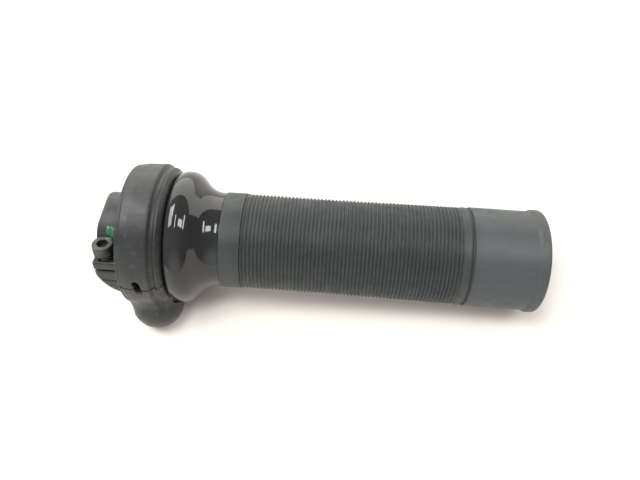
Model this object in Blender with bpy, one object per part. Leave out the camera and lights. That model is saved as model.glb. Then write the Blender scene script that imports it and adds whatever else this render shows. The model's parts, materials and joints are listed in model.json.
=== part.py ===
"""Twist-grip throttle with a built-in angle sensor, for a 22 mm handlebar.

The handlebar's axis is the X axis. The origin is on that axis at the clamp's
inboard face, and +X points outboard, to the open end of the grip. Angles round
the bar are measured from +Y towards +Z, the way the grip turns to open.
"""

import math

import bmesh
import bpy
from mathutils import Matrix, Vector

MM = 0.001
GAP = 0.3 * MM
ROUND = 48

# The handlebar and the tube that turns on it.
BAR_RADIUS = 11.0 * MM
CLAMP_BORE = BAR_RADIUS + 0.05 * MM
TUBE_BORE = BAR_RADIUS + 0.25 * MM
TUBE_RADIUS = 12.9 * MM
RUNNING_CLEARANCE = 0.1 * MM
SLEEVE_BORE = TUBE_RADIUS + GAP

# Stations along the bar.
DRUM_START = 9.4 * MM
FLOOR_END = 11.4 * MM
HUB_END = 15.3 * MM
CARRIER_START = 15.7 * MM
CARRIER_END = 20.6 * MM
DRUM_END = 21.5 * MM
RING_START = DRUM_END + GAP
RING_END = 23.2 * MM
COVER_END = 24.0 * MM
TRIM_START = 24.5 * MM
TRIM_END = 41.1 * MM
COLLAR_END = 48.2 * MM
RIBS_END = 122.0 * MM
BAND_START = 125.5 * MM
BAND_END = 146.7 * MM
GRIP_END = 150.4 * MM

# The drum and the shells round it.
NECK_RADIUS = 14.2 * MM
DRUM_RADIUS = 21.4 * MM
DRUM_BORE = 19.9 * MM
HUB_RADIUS = 16.0 * MM
HUB_BORE = 14.7 * MM
SHELL_BORE = DRUM_RADIUS + GAP
SHELL_RELIEF_BORE = 23.2 * MM
SHELL_INBOARD_RADIUS = 24.1 * MM
SHELL_MIDDLE_RADIUS = 24.8 * MM
SHELL_RADIUS = 25.2 * MM
SHELL_RIDGE_RADIUS = 23.8 * MM
SHELL_LIP_RADIUS = 21.8 * MM
SHELL_LIP_BORE = 20.2 * MM
SHELL_MIDDLE = 13.0 * MM
BAND_EDGE = 19.7 * MM
RIDGE = 22.0 * MM
SHELL_PARTING = math.radians(180 - 14)

# The split clamp: its screw crosses the split plane beside the bar.
CLAMP_ANGLE = math.radians(180 - 19)
CLAMP_SCREW_OUT = 15.6 * MM
CLAMP_SCREW_X = 3.5 * MM
EAR_START = 0.2 * MM
EAR_END = 8.4 * MM
EAR_OUT = 19.5 * MM
EAR_TOP = 3.7 * MM
EAR_BOTTOM = -12.2 * MM
EAR_CORNER = 1.2 * MM
EAR_ROOT = 12.0 * MM
EAR_CORNER_ANGLE = CLAMP_ANGLE + math.radians(47)
SLIT = 0.9 * MM
SLIT_START = 9.0 * MM
SLIT_END = 22.0 * MM
SLIT_DEPTH = 9.0 * MM
WASHER_RADIUS = 3.4 * MM
WASHER_HEIGHT = 0.8 * MM
WASHER_SPLIT = 0.5 * MM
SCREW_RADIUS = 2.0 * MM
SCREW_HEAD_RADIUS = 3.5 * MM
SCREW_HEAD_HEIGHT = 4.0 * MM
HEX_KEY_RADIUS = 1.75 * MM
INSERT_RADIUS = 2.7 * MM
INSERT_LENGTH = 5.0 * MM
INSERT_BOTTOM = -7.8 * MM
SCREW_WAY_END = -9.4 * MM

# The window in the shells' edge that the lower half snaps into.
WINDOW_START = 14.5 * MM
WINDOW_END = 17.2 * MM
WINDOW_TOP = -3.7 * MM

# The hood that the leads leave by, and its gland.
HOOD_ANGLE = math.radians(180 + 40)
HOOD_X = 17.1 * MM
HOOD_OUT = 25.4 * MM
HOOD_RADIUS = 9.05 * MM
HOOD_BORE = 7.4 * MM
GLAND_OUT = 26.8 * MM
GLAND_START = 9.4 * MM
GLAND_END = 13.4 * MM
GLAND_RADIUS = 4.2 * MM
GLAND_BORE = 3.1 * MM

# The moving stop, the spring and the sensor.
TRAVEL = math.radians(75)
LUG_START = CARRIER_START + 0.2 * MM
LUG_END = CARRIER_START + 1.6 * MM
LUG_ROOT = 14.2 * MM
LUG_TIP = 18.8 * MM
LUG_ANGLE = math.radians(60)
LUG_HALF = math.radians(5)
STOP_HALF = math.radians(3.5)
STOP_CLEAR = math.radians(1.5)
COIL_RADIUS = 17.6 * MM
WIRE_RADIUS = 0.5 * MM
COIL_TURNS = 2
ANCHOR_ANGLE = math.radians(20)
ANCHOR_OUT = 19.0 * MM
ANCHOR_RADIUS = 0.6 * MM
CARRIER_RADIUS = 14.9 * MM
RING_SCREW_ANGLES = [math.radians(a) for a in (30, 150, 270)]
RING_SCREW_OUT = 18.6 * MM
RING_SCREW_RADIUS = 0.8 * MM
RING_SCREW_HEAD_RADIUS = 1.4 * MM
RING_SCREW_HEAD_HEIGHT = 0.5 * MM
RING_HOLE_RADIUS = 1.1 * MM
BOSS_RADIUS = 1.9 * MM
BOSS_START = CARRIER_START + 1.9 * MM
MAGNET_ANGLES = [math.radians(a) for a in (190, 270)]
MAGNET_HALF = math.radians(32)
MAGNET_START = CARRIER_START + 1.9 * MM
MAGNET_END = CARRIER_END - 0.2 * MM
MAGNET_BORE = 15.2 * MM
MAGNET_RADIUS = 16.4 * MM
THRUST_WASHER_RADIUS = 16.3 * MM
SEAL_RADIUS = 14.1 * MM
RING_BORE = SEAL_RADIUS + GAP

# The circuit board across the hood's direction, by spans out, across and along.
BOARD_OUT = (17.9 * MM, 18.9 * MM)
BOARD_SIDE = (-5.0 * MM, 5.0 * MM)
BOARD_X = (15.9 * MM, 21.0 * MM)
HALL_OUT = (16.8 * MM, 17.6 * MM)
HALL_HALF = 1.6 * MM
HALL_X = (17.2 * MM, 20.2 * MM)
HALL_SIDE = 2.6 * MM
CONNECTOR_OUT = (19.2 * MM, 21.1 * MM)
CONNECTOR_SIDE = (-2.4 * MM, 2.4 * MM)
CONNECTOR_X = (16.8 * MM, 20.2 * MM)
LEAD_WINDOW_SIDE = (-2.8 * MM, 2.8 * MM)
LEAD_WINDOW_X = (16.4 * MM, 20.6 * MM)

# The grip's outside.
TRIM_NECK_RADIUS = 16.5 * MM
TRIM_CREST_RADIUS = 23.2 * MM
TRIM_CLEARANCE = 0.5 * MM
COLLAR_RADIUS = 16.7 * MM
RIBS_START_RADIUS = 16.6 * MM
RIBS_END_RADIUS = 17.1 * MM
BAND_RADIUS = 17.4 * MM
FLANGE_RADIUS = 18.0 * MM
END_STEP = 0.8 * MM

# Longer than any cut needs to be.
BEYOND = 60.0 * MM

MOULDED_BLACK = ("moulded_black", (0.035, 0.034, 0.037), 0.55, 0.0)
GLOSS_BLACK = ("gloss_black", (0.012, 0.012, 0.013), 0.12, 0.0)
SOFT_RUBBER = ("soft_rubber", (0.030, 0.030, 0.032), 0.75, 0.0)
TUBE_NYLON = ("tube_nylon", (0.045, 0.045, 0.047), 0.5, 0.0)
BLACK_STEEL = ("black_steel", (0.05, 0.05, 0.05), 0.35, 0.9)
PLATED_STEEL = ("plated_steel", (0.55, 0.54, 0.50), 0.3, 1.0)
BRASS = ("brass", (0.72, 0.53, 0.25), 0.3, 1.0)
WHITE_ACETAL = ("white_acetal", (0.75, 0.74, 0.70), 0.4, 0.0)
MAGNET_PLATING = ("magnet_plating", (0.45, 0.45, 0.46), 0.3, 1.0)
BOARD_GREEN = ("board_green", (0.02, 0.15, 0.06), 0.4, 0.0)
CHIP_BLACK = ("chip_black", (0.02, 0.02, 0.02), 0.5, 0.0)


def clear_scene():
    for obj in list(bpy.data.objects):
        bpy.data.objects.remove(obj, do_unlink=True)


def material(look):
    name, colour, roughness, metallic = look
    found = bpy.data.materials.get(name)
    if found:
        return found
    made = bpy.data.materials.new(name)
    made.use_nodes = True
    shader = made.node_tree.nodes["Principled BSDF"]
    shader.inputs["Base Color"].default_value = (*colour, 1.0)
    shader.inputs["Roughness"].default_value = roughness
    shader.inputs["Metallic"].default_value = metallic
    return made


def add_object(name, bm, look=None):
    """Turn a bmesh into a scene object, shaded smooth except at its edges."""
    bmesh.ops.recalc_face_normals(bm, faces=bm.faces)
    mesh = bpy.data.meshes.new(name)
    bm.to_mesh(mesh)
    bm.free()
    mesh.shade_smooth()
    mesh.set_sharp_from_angle(angle=math.radians(35))
    obj = bpy.data.objects.new(name, mesh)
    bpy.context.scene.collection.objects.link(obj)
    if look:
        mesh.materials.append(material(look))
    return obj


def around(angle, out, x=0.0, side=0.0):
    """The point at a distance out from the bar's axis, and side across it."""
    y = out * math.cos(angle) - side * math.sin(angle)
    z = out * math.sin(angle) + side * math.cos(angle)
    return Vector((x, y, z))


def arc(centre_x, centre_r, radius, start, end, steps):
    """Points of an arc in the plane of a turned outline, angles in degrees."""
    points = []
    for i in range(steps + 1):
        a = math.radians(start + (end - start) * i / steps)
        points.append((centre_x + radius * math.cos(a), centre_r + radius * math.sin(a)))
    return points


def turned(name, outline, look=None, start=0.0, sweep=math.tau, steps=ROUND):
    """Spin a closed outline of (x, r) points round the bar's axis."""
    bm = bmesh.new()
    whole = sweep >= math.tau
    rings = []
    for i in range(steps if whole else steps + 1):
        a = start + sweep * i / steps
        rings.append([bm.verts.new(around(a, r, x)) for x, r in outline])
    for i in range(steps):
        near = rings[i]
        far = rings[(i + 1) % len(rings)]
        for j in range(len(outline)):
            k = (j + 1) % len(outline)
            bm.faces.new((near[j], near[k], far[k], far[j]))
    if not whole:
        bm.faces.new(rings[0])
        bm.faces.new(list(reversed(rings[-1])))
    return add_object(name, bm, look)


def sleeve(name, x0, x1, r0, r1, look=None):
    """A plain ring or tube between two stations and two radii."""
    return turned(name, [(x0, r0), (x0, r1), (x1, r1), (x1, r0)], look)


def rod(name, start, end, radius, look=None, sides=24):
    """A solid round rod from one point to another."""
    axis = end - start
    bm = bmesh.new()
    turn = axis.to_track_quat("Z", "Y").to_matrix().to_4x4()
    place = Matrix.Translation((start + end) / 2) @ turn
    bmesh.ops.create_cone(
        bm,
        cap_ends=True,
        segments=sides,
        radius1=radius,
        radius2=radius,
        depth=axis.length,
        matrix=place,
    )
    return add_object(name, bm, look)


def ball(name, centre, radius):
    bm = bmesh.new()
    place = Matrix.Translation(centre)
    bmesh.ops.create_uvsphere(bm, u_segments=24, v_segments=14, radius=radius, matrix=place)
    return add_object(name, bm)


def slab(name, angle, out, side, x, look=None):
    """A box by its (low, high) spans out from the bar, across, and along it."""
    bm = bmesh.new()
    corners = [(o, s, p) for o in out for s in side for p in x]
    verts = [bm.verts.new(around(angle, o, p, s)) for o, s, p in corners]
    for ids in ((0, 1, 3, 2), (4, 6, 7, 5), (0, 4, 5, 1), (2, 3, 7, 6), (0, 2, 6, 4), (1, 5, 7, 3)):
        bm.faces.new([verts[i] for i in ids])
    return add_object(name, bm, look)


def prism(name, low_points, high_points):
    """A solid between two matching outlines."""
    bm = bmesh.new()
    low = [bm.verts.new(point) for point in low_points]
    high = [bm.verts.new(point) for point in high_points]
    bm.faces.new(low)
    bm.faces.new(high)
    for i in range(len(low)):
        j = (i + 1) % len(low)
        bm.faces.new((low[i], low[j], high[j], high[i]))
    return add_object(name, bm)


def combine(target, tool, operation):
    """Join or cut a solid with a hidden tool solid."""
    tool.hide_render = True
    tool.hide_viewport = False
    tool.display_type = "WIRE"
    step = target.modifiers.new(tool.name, "BOOLEAN")
    step.operation = operation
    step.object = tool
    step.solver = "EXACT"


def cut(target, *tools):
    for tool in tools:
        combine(target, tool, "DIFFERENCE")


def join(target, *tools):
    for tool in tools:
        combine(target, tool, "UNION")


def clamp_point(side, x=CLAMP_SCREW_X, out=CLAMP_SCREW_OUT):
    """A point beside the bar, side away from the clamp's split plane.

    The screw goes in from the upper side, which is the negative side here.
    """
    return around(CLAMP_ANGLE, out, x, -side)


def build_ear_block():
    """Both clamp ears in one block; the lower one is rounded towards the neck."""
    lower = -EAR_BOTTOM
    outline = [
        (EAR_ROOT, -EAR_TOP),
        (EAR_OUT - EAR_CORNER, -EAR_TOP),
        (EAR_OUT, -EAR_TOP + EAR_CORNER),
        (EAR_OUT, lower - 2 * EAR_CORNER),
        (EAR_OUT - 0.6 * EAR_CORNER, lower - 0.8 * EAR_CORNER),
        (EAR_OUT - 2.2 * EAR_CORNER, lower),
        (EAR_ROOT - 5.0 * MM, lower),
        (EAR_ROOT - 1.5 * MM, lower / 2),
        (EAR_ROOT, 0.0),
    ]
    low = [around(CLAMP_ANGLE, out, EAR_START, side) for out, side in outline]
    high = [around(CLAMP_ANGLE, out, EAR_END, side) for out, side in outline]
    block = prism("ear_block", low, high)

    rounding = EAR_END + 0.6 * MM
    corner_out = EAR_OUT - 4.4 * MM
    corner = [
        (-MM, corner_out),
        (0.08 * rounding, corner_out + 0.13 * rounding),
        (0.35 * rounding, corner_out + 0.42 * rounding),
        (rounding, corner_out + 0.69 * rounding),
        (rounding, BEYOND),
        (-MM, BEYOND),
    ]
    near = [around(EAR_CORNER_ANGLE, out, x, -BEYOND) for x, out in corner]
    far = [around(EAR_CORNER_ANGLE, out, x, BEYOND) for x, out in corner]
    cut(block, prism("ear_corner", near, far))
    return block


def build_sensor_housing():
    """Drum with an open outboard side, on a split clamp neck."""
    edge = 0.4 * MM
    outline = [
        (0.0, CLAMP_BORE),
        (0.0, NECK_RADIUS - edge),
        (edge, NECK_RADIUS),
        (DRUM_START, NECK_RADIUS),
        (DRUM_START, DRUM_RADIUS - edge),
        (DRUM_START + edge, DRUM_RADIUS),
        (DRUM_END, DRUM_RADIUS),
        (DRUM_END, DRUM_BORE),
        (FLOOR_END, DRUM_BORE),
        (FLOOR_END, HUB_RADIUS),
        (HUB_END, HUB_RADIUS),
        (HUB_END, HUB_BORE),
        (FLOOR_END, HUB_BORE),
        (FLOOR_END, CLAMP_BORE),
    ]
    housing = turned("sensor_housing", outline, MOULDED_BLACK)

    join(housing, build_ear_block())
    for i, angle in enumerate(RING_SCREW_ANGLES):
        start = around(angle, RING_SCREW_OUT, BOSS_START)
        end = around(angle, RING_SCREW_OUT, DRUM_END - 0.1 * MM)
        join(housing, rod(f"screw_boss_{i}", start, end, BOSS_RADIUS, sides=16))
    closed_stop = LUG_ANGLE - LUG_HALF - STOP_CLEAR - STOP_HALF
    open_stop = LUG_ANGLE + TRAVEL + LUG_HALF + STOP_CLEAR + STOP_HALF
    for label, angle in (("closed", closed_stop), ("open", open_stop)):
        half = COIL_RADIUS * STOP_HALF
        out = (COIL_RADIUS, DRUM_BORE + 0.6 * MM)
        join(housing, slab(f"stop_{label}", angle, out, (-half, half), (LUG_START, LUG_END)))

    slit = (-SLIT / 2, SLIT / 2)
    cut(housing, slab("clamp_slit", CLAMP_ANGLE, (SLIT_START, SLIT_END), slit, (-MM, SLIT_DEPTH)))
    spot_low = clamp_point(EAR_TOP + GAP / 4)
    spot_high = clamp_point(EAR_TOP + 4 * SCREW_HEAD_HEIGHT)
    cut(housing, rod("spot_face", spot_low, spot_high, SCREW_HEAD_RADIUS + GAP))
    cut(housing, rod("screw_way", spot_high, clamp_point(SCREW_WAY_END), SCREW_RADIUS + GAP))
    pocket_bottom = clamp_point(INSERT_BOTTOM - GAP)
    cut(housing, rod("insert_pocket", pocket_bottom, clamp_point(0), INSERT_RADIUS + GAP))
    for i, angle in enumerate(RING_SCREW_ANGLES):
        start = around(angle, RING_SCREW_OUT, BOSS_START + MM)
        end = around(angle, RING_SCREW_OUT, DRUM_END + MM)
        cut(housing, rod(f"boss_hole_{i}", start, end, RING_HOLE_RADIUS, sides=12))
    out = (DRUM_BORE - 1.5 * MM, DRUM_RADIUS + MM)
    cut(housing, slab("lead_window", HOOD_ANGLE, out, LEAD_WINDOW_SIDE, LEAD_WINDOW_X))
    return housing


def build_clamp_screw():
    """Socket-head cap screw, head up, with its hexagon socket."""
    seat = EAR_TOP + WASHER_HEIGHT + 2 * GAP
    top = seat + SCREW_HEAD_HEIGHT
    screw = rod("clamp_screw", clamp_point(seat), clamp_point(top), SCREW_HEAD_RADIUS, BLACK_STEEL, 32)
    join(screw, rod("screw_shank", clamp_point(seat + MM), clamp_point(INSERT_BOTTOM - GAP), SCREW_RADIUS))
    socket = rod("hex_socket", clamp_point(top - 2 * MM), clamp_point(top + MM), HEX_KEY_RADIUS, sides=6)
    cut(screw, socket)
    return screw


def build_clamp_lock_washer():
    """Spring lock washer, cut through at one place."""
    low = clamp_point(EAR_TOP + GAP)
    high = clamp_point(EAR_TOP + GAP + WASHER_HEIGHT)
    washer = rod("clamp_lock_washer", low, high, WASHER_RADIUS, PLATED_STEEL)
    cut(washer, rod("washer_hole", low * 2 - high, high * 2 - low, SCREW_RADIUS + GAP))
    split = slab(
        "washer_split",
        CLAMP_ANGLE,
        (CLAMP_SCREW_OUT, CLAMP_SCREW_OUT + 2 * WASHER_RADIUS),
        (-EAR_TOP - 2 * MM, -EAR_TOP + MM),
        (CLAMP_SCREW_X - WASHER_SPLIT / 2, CLAMP_SCREW_X + WASHER_SPLIT / 2),
    )
    cut(washer, split)
    return washer


def build_clamp_insert():
    """Threaded brass insert, let into the lower ear from the clamp's slit."""
    low = clamp_point(INSERT_BOTTOM)
    high = clamp_point(INSERT_BOTTOM + INSERT_LENGTH)
    insert = rod("clamp_insert", low, high, INSERT_RADIUS, BRASS)
    cut(insert, rod("insert_hole", low * 2 - high, high * 2 - low, SCREW_RADIUS + GAP))
    return insert


def shell_outline():
    """Section of the round shells: swelling band, ridged shoulder, inward lip.

    The shells sit on the drum at both ends and are relieved between them.
    """
    edge = 0.4 * MM
    seat = 2.0 * MM
    relief_end = BAND_EDGE - MM
    return [
        (DRUM_START, SHELL_BORE),
        (DRUM_START, SHELL_INBOARD_RADIUS - edge),
        (DRUM_START + edge, SHELL_INBOARD_RADIUS),
        (SHELL_MIDDLE, SHELL_MIDDLE_RADIUS),
        (relief_end, SHELL_RADIUS),
        (BAND_EDGE, SHELL_RADIUS - edge),
        (RIDGE - MM, SHELL_RIDGE_RADIUS),
        (RIDGE, SHELL_RIDGE_RADIUS),
        (COVER_END, SHELL_LIP_RADIUS),
        (COVER_END, SHELL_LIP_BORE),
        (RING_END + GAP, SHELL_LIP_BORE),
        (RING_END + GAP, SHELL_BORE),
        (relief_end, SHELL_BORE),
        (relief_end, SHELL_RELIEF_BORE),
        (DRUM_START + seat, SHELL_RELIEF_BORE),
        (DRUM_START + seat, SHELL_BORE),
    ]


def build_cover(name, other_side):
    """Half of the round shell, made by cutting away the other side."""
    cover = turned(name, shell_outline(), MOULDED_BLACK)
    across = (-BEYOND, BEYOND)
    cut(cover, slab(f"{name}_cut", SHELL_PARTING, across, other_side, (0, BEYOND)))
    return cover


def build_cover_upper():
    """Upper half shell, with the window that the lower half snaps into."""
    cover = build_cover("cover_upper", (-GAP / 2, BEYOND))
    out = (DRUM_RADIUS - MM, SHELL_RADIUS + MM)
    cut(cover, slab("snap_window", SHELL_PARTING, out, (WINDOW_TOP, MM), (WINDOW_START, WINDOW_END)))
    return cover


def build_cover_lower():
    """Lower half shell with the hood, hollow for the leads, and its mouth."""
    cover = build_cover("cover_lower", (-BEYOND, GAP / 2))
    root = around(HOOD_ANGLE, SHELL_BORE + 0.6 * MM, HOOD_X)
    tip = around(HOOD_ANGLE, HOOD_OUT, HOOD_X)
    join(cover, rod("hood_wall", root, tip, HOOD_RADIUS, sides=24))
    join(cover, ball("hood_dome", tip, HOOD_RADIUS))
    cut(cover, ball("hood_hollow", tip, HOOD_BORE))
    inboard = Vector((DRUM_START / 2, 0, 0))
    outboard = Vector((TRIM_END, 0, 0))
    swept = TRIM_CREST_RADIUS + TRIM_CLEARANCE
    cut(cover, rod("drum_space", inboard, Vector((RING_END + GAP, 0, 0)), SHELL_BORE, sides=ROUND))
    cut(cover, rod("lip_space", Vector((RING_END, 0, 0)), outboard, SHELL_LIP_BORE, sides=ROUND))
    cut(cover, rod("trim_space", Vector((COVER_END, 0, 0)), outboard, swept, sides=ROUND))
    mouth_start = around(HOOD_ANGLE, GLAND_OUT, GLAND_START / 2)
    mouth_end = around(HOOD_ANGLE, GLAND_OUT, HOOD_X)
    cut(cover, rod("hood_mouth", mouth_start, mouth_end, GLAND_RADIUS + GAP))
    return cover


def build_cable_gland():
    """Rubber gland in the hood's mouth."""
    start = around(HOOD_ANGLE, GLAND_OUT, GLAND_START)
    end = around(HOOD_ANGLE, GLAND_OUT, GLAND_END)
    gland = rod("cable_gland", start, end, GLAND_RADIUS, SOFT_RUBBER)
    cut(gland, rod("gland_bore", start * 2 - end, end * 2 - start, GLAND_BORE))
    return gland


def build_inboard_bush():
    bore = TUBE_RADIUS + RUNNING_CLEARANCE
    return sleeve("inboard_bush", FLOOR_END + GAP, HUB_END, bore, HUB_BORE - GAP, WHITE_ACETAL)


def build_return_spring():
    """Torsion spring: an axial leg behind the lug and a radial leg at the pin."""
    low = FLOOR_END + 1.0 * MM
    high = CARRIER_START - 0.5 * MM
    reach = (WIRE_RADIUS + GAP) / COIL_RADIUS
    leg_angle = LUG_ANGLE + LUG_HALF + reach + math.radians(0.5)
    anchor_leg = ANCHOR_ANGLE + (WIRE_RADIUS + ANCHOR_RADIUS + GAP) / COIL_RADIUS
    sweep = COIL_TURNS * math.tau + leg_angle - anchor_leg
    steps = 24 * COIL_TURNS
    points = [around(leg_angle, COIL_RADIUS, high + 1.4 * MM)]
    for i in range(steps + 1):
        part = i / steps
        points.append(around(leg_angle - sweep * part, COIL_RADIUS, high + (low - high) * part))
    points.append(around(anchor_leg, DRUM_BORE - 0.9 * MM, low))

    curve = bpy.data.curves.new("return_spring", "CURVE")
    curve.dimensions = "3D"
    curve.bevel_depth = WIRE_RADIUS
    curve.bevel_resolution = 1
    curve.use_fill_caps = True
    line = curve.splines.new("POLY")
    line.points.add(len(points) - 1)
    for slot, point in zip(line.points, points):
        slot.co = (*point, 1.0)
    curve.materials.append(material(PLATED_STEEL))
    spring = bpy.data.objects.new("return_spring", curve)
    bpy.context.scene.collection.objects.link(spring)
    return spring


def build_spring_anchor():
    start = around(ANCHOR_ANGLE, ANCHOR_OUT, FLOOR_END + GAP)
    end = around(ANCHOR_ANGLE, ANCHOR_OUT, HUB_END)
    return rod("spring_anchor", start, end, ANCHOR_RADIUS, PLATED_STEEL, 12)


def build_sensor_board():
    return slab("sensor_board", HOOD_ANGLE, BOARD_OUT, BOARD_SIDE, BOARD_X, BOARD_GREEN)


def build_hall_sensor(name, side):
    span = (side - HALL_HALF, side + HALL_HALF)
    return slab(name, HOOD_ANGLE, HALL_OUT, span, HALL_X, CHIP_BLACK)


def build_board_connector():
    return slab("board_connector", HOOD_ANGLE, CONNECTOR_OUT, CONNECTOR_SIDE, CONNECTOR_X, WHITE_ACETAL)


def build_thrust_washer():
    bore = TUBE_RADIUS + 2 * RUNNING_CLEARANCE
    return sleeve("thrust_washer", CARRIER_END + GAP, DRUM_END, bore, THRUST_WASHER_RADIUS, WHITE_ACETAL)


def build_lip_seal():
    bore = TUBE_RADIUS + RUNNING_CLEARANCE
    return sleeve("lip_seal", RING_START, RING_END, bore, SEAL_RADIUS, SOFT_RUBBER)


def build_retainer_ring():
    ring = sleeve("retainer_ring", RING_START, RING_END, RING_BORE, DRUM_RADIUS - GAP, MOULDED_BLACK)
    for i, angle in enumerate(RING_SCREW_ANGLES):
        start = around(angle, RING_SCREW_OUT, RING_START - MM)
        end = around(angle, RING_SCREW_OUT, RING_END + MM)
        cut(ring, rod(f"ring_hole_{i}", start, end, RING_HOLE_RADIUS, sides=12))
    return ring


def build_retainer_screw(number, angle):
    """Small low-head screw through the retainer ring into its boss."""
    name = f"retainer_screw_{number}"
    seat_x = RING_END + 0.2 * MM
    seat = around(angle, RING_SCREW_OUT, seat_x)
    head = around(angle, RING_SCREW_OUT, seat_x + RING_SCREW_HEAD_HEIGHT)
    screw = rod(name, seat, head, RING_SCREW_HEAD_RADIUS, PLATED_STEEL, 16)
    tip = around(angle, RING_SCREW_OUT, BOSS_START + 1.4 * MM)
    neck = around(angle, RING_SCREW_OUT, seat_x + RING_SCREW_HEAD_HEIGHT / 2)
    join(screw, rod(f"{name}_shank", tip, neck, RING_SCREW_RADIUS, sides=12))
    return screw


def build_throttle_tube():
    start = FLOOR_END + 0.5 * MM
    end = GRIP_END - END_STEP - GAP
    return sleeve("throttle_tube", start, end, TUBE_BORE, TUBE_RADIUS, TUBE_NYLON)


def build_magnet_carrier():
    """Ring on the tube with the lug that meets the stops and the spring."""
    carrier = sleeve("magnet_carrier", CARRIER_START, CARRIER_END, SLEEVE_BORE, CARRIER_RADIUS, TUBE_NYLON)
    half = COIL_RADIUS * LUG_HALF
    join(carrier, slab("stop_lug", LUG_ANGLE, (LUG_ROOT, LUG_TIP), (-half, half), (LUG_START, LUG_END)))
    return carrier


def build_magnet(name, angle):
    outline = [
        (MAGNET_START, MAGNET_BORE),
        (MAGNET_START, MAGNET_RADIUS),
        (MAGNET_END, MAGNET_RADIUS),
        (MAGNET_END, MAGNET_BORE),
    ]
    return turned(name, outline, MAGNET_PLATING, angle - MAGNET_HALF, 2 * MAGNET_HALF, 10)


def build_flare_trim():
    """Trumpet-shaped gloss trim: a rolled lip and crest that sweep down to a neck."""
    lip = 1.2 * MM
    crest = 3.4 * MM
    fillet = 8.0 * MM
    wall = 1.2 * MM
    crest_x = TRIM_START + 4.4 * MM
    crest_r = TRIM_CREST_RADIUS - crest
    fillet_x = TRIM_START + 15.5 * MM
    fillet_r = TRIM_NECK_RADIUS + fillet
    lip_bottom = TRIM_CREST_RADIUS - 2 * lip
    outline = [(TRIM_START, lip_bottom)]
    outline += arc(TRIM_START + lip, TRIM_CREST_RADIUS - 0.1 * MM - lip, lip, 180, 95, 3)
    outline += arc(crest_x, crest_r, crest, 90, 40, 5)
    outline += arc(fillet_x, fillet_r, fillet, 220, 270, 5)
    outline += [(TRIM_END, TRIM_NECK_RADIUS), (TRIM_END, SLEEVE_BORE), (fillet_x - 3 * wall, SLEEVE_BORE)]
    outline += arc(crest_x, crest_r, crest - wall, 40, 90, 3)
    outline += [(TRIM_START + 1.3 * wall, TRIM_CREST_RADIUS - wall), (TRIM_START + wall, lip_bottom)]
    return turned("flare_trim", outline, GLOSS_BLACK)


def build_rubber_grip():
    """Rubber sleeve: collar, ribbed length, plain band and rounded end flange."""
    groove = 0.5 * MM
    outline = [
        (TRIM_END + GAP, SLEEVE_BORE),
        (TRIM_END + GAP, COLLAR_RADIUS - groove),
        (TRIM_END + 2 * GAP, COLLAR_RADIUS),
        (COLLAR_END, COLLAR_RADIUS),
        (COLLAR_END, RIBS_START_RADIUS),
        (RIBS_END, RIBS_END_RADIUS),
        (RIBS_END + groove, BAND_RADIUS),
        (BAND_START - 3 * groove, BAND_RADIUS),
        (BAND_START - 2 * groove, RIBS_END_RADIUS - groove),
        (BAND_START, BAND_RADIUS),
        (BAND_END, BAND_RADIUS),
        (BAND_END + groove, FLANGE_RADIUS),
        (GRIP_END - 2 * groove, FLANGE_RADIUS),
        (GRIP_END, FLANGE_RADIUS - 2 * groove),
        (GRIP_END, TUBE_BORE),
        (GRIP_END - END_STEP, TUBE_BORE),
        (GRIP_END - END_STEP, SLEEVE_BORE),
    ]
    return turned("rubber_grip", outline, SOFT_RUBBER)


def main():
    clear_scene()
    fixed = [
        build_sensor_housing(),
        build_clamp_screw(),
        build_clamp_lock_washer(),
        build_clamp_insert(),
        build_cover_upper(),
        build_cover_lower(),
        build_cable_gland(),
        build_inboard_bush(),
        build_return_spring(),
        build_spring_anchor(),
        build_sensor_board(),
        build_hall_sensor("hall_sensor_a", -HALL_SIDE),
        build_hall_sensor("hall_sensor_b", HALL_SIDE),
        build_board_connector(),
        build_thrust_washer(),
        build_lip_seal(),
        build_retainer_ring(),
    ]
    for number, angle in enumerate(RING_SCREW_ANGLES, 1):
        fixed.append(build_retainer_screw(number, angle))
    turning = [
        build_throttle_tube(),
        build_magnet_carrier(),
        build_magnet("magnet_a", MAGNET_ANGLES[0]),
        build_magnet("magnet_b", MAGNET_ANGLES[1]),
        build_flare_trim(),
        build_rubber_grip(),
    ]

    frame = bpy.data.objects.new("handlebar_frame", None)
    twist = bpy.data.objects.new("throttle_twist", None)
    for empty in (frame, twist):
        bpy.context.scene.collection.objects.link(empty)
    twist.parent = frame
    for piece in fixed:
        piece.parent = frame
    for piece in turning:
        piece.parent = twist


main()
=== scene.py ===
"""Looks of the twist-grip throttle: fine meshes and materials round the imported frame.

The shapes are worked out in millimetres, in the frame's own axes: the handlebar's
axis is X, and angles round it are measured from +Y towards +Z. Moulded pieces are
distance fields, whose joins and edges are rounded as a mould rounds them. Only the
bench and the lights are placed in metres.
"""

import json
import math

import bmesh
import bpy
import numpy as np
from mathutils import Matrix, Vector


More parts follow.
